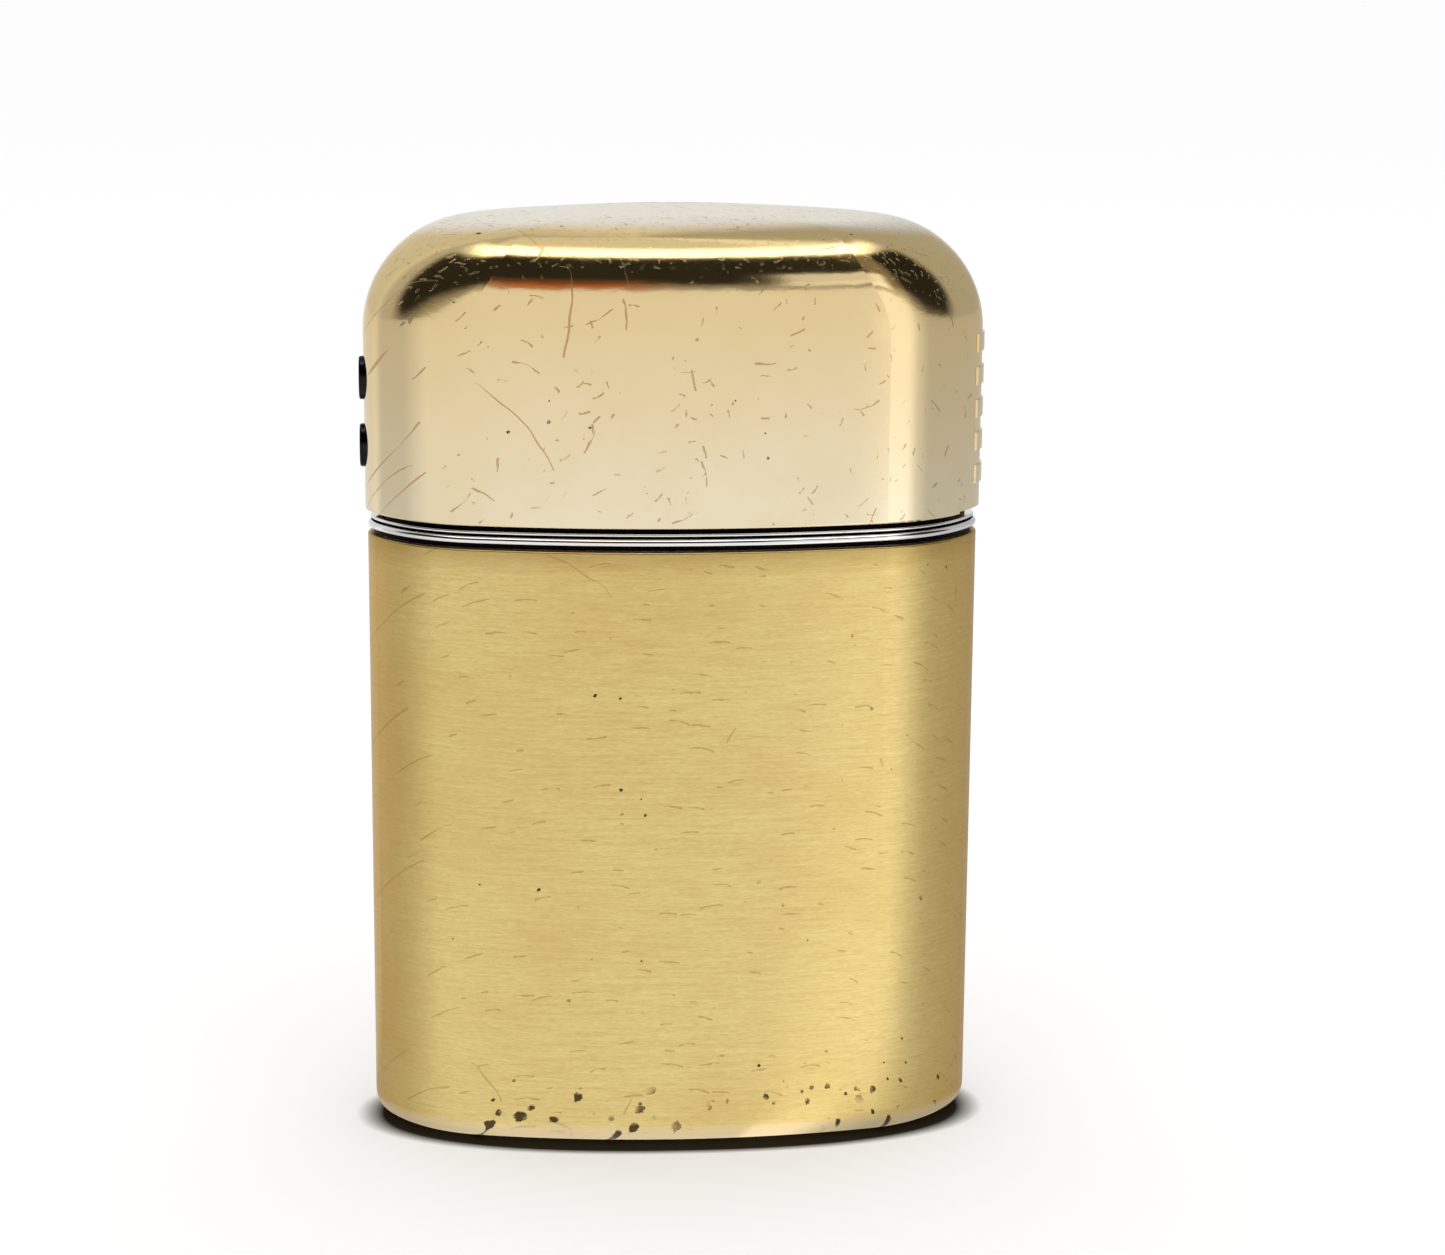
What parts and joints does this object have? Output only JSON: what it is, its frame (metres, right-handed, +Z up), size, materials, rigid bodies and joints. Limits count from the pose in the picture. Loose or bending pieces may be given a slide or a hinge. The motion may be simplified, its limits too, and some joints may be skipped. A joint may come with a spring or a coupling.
{
  "type": "flip-top windproof pocket lighter",
  "caption": "Flip-top windproof pocket lighter: brushed brass jacket, lift-out tank with wick, flint gear and perforated windshield, and a hinged polished brass lid.",
  "frame": {"origin": "centre of the flat base", "axes": "+Z up, out of the lid's top; +X towards the lid's thumb ribs; +Y through the back face"},
  "size_m": [0.0387, 0.0152, 0.0581],
  "materials": {
    "brushed_brass": "brushed",
    "polished_brass": "polished",
    "plated_steel": "polished",
    "soft_steel": "satin",
    "dark_steel": "polished",
    "tube_brass": "satin",
    "wheel_steel": "matte",
    "flint_metal": "matte",
    "wick_cotton": "matte",
    "packing_cotton": "matte",
    "felt": "matte"
  },
  "bodies": {
    "jacket": {"jacket_sleeve": "brushed_brass"},
    "inner_unit": {"tank_shell": "plated_steel", "collar_ring": "plated_steel", "hinge_well": "soft_steel", "hinge_pin": "soft_steel", "cam_spring": "soft_steel", "cam_spring_rivet": "tube_brass", "windshield": "plated_steel", "wheel_axle": "soft_steel", "wick": "wick_cotton", "wick_ferrule": "tube_brass", "flint_tube": "tube_brass", "felt_pad": "felt", "flint_spring": "soft_steel", "packing_1": "packing_cotton", "packing_2": "packing_cotton", "packing_3": "packing_cotton", "packing_4": "packing_cotton"},
    "lid": {"lid_shell": "polished_brass", "hinge_arm": "plated_steel", "hinge_rivet_lower": "dark_steel", "hinge_rivet_upper": "dark_steel"},
    "wheel": {"striker_wheel": "wheel_steel", "thumb_rim_front": "wheel_steel", "thumb_rim_back": "wheel_steel"},
    "flint_stack": {"flint": "flint_metal", "spring_tip": "tube_brass"},
    "screw": {"flint_screw": "tube_brass"}
  },
  "joints": [
    {"name": "unit_slide", "type": "slide", "parent": "jacket", "child": "inner_unit", "axis": [0, 0, 1], "range_m": [0, 0.042]},
    {"name": "lid_hinge", "type": "hinge", "parent": "inner_unit", "child": "lid", "pos_m": [-0.016, 0, 0.0357], "axis": [0, -1, 0], "range_deg": [0, 100], "deforming": ["cam_spring"]},
    {"name": "wheel_spin", "type": "hinge", "parent": "inner_unit", "child": "wheel", "pos_m": [0.0096, 0, 0.04523], "axis": [0, 1, 0], "continuous": true},
    {"name": "flint_feed", "type": "slide", "parent": "inner_unit", "child": "flint_stack", "axis": [0, 0, 1], "range_m": [-0.002, 0], "stiffness_N_per_m": 50, "springref_m": 0.01, "deforming": ["flint_spring"]},
    {"name": "screw_turn", "type": "hinge", "parent": "inner_unit", "child": "screw", "pos_m": [0.0096, 0, 0.0019], "axis": [0, 0, 1], "continuous": true}
  ]
}
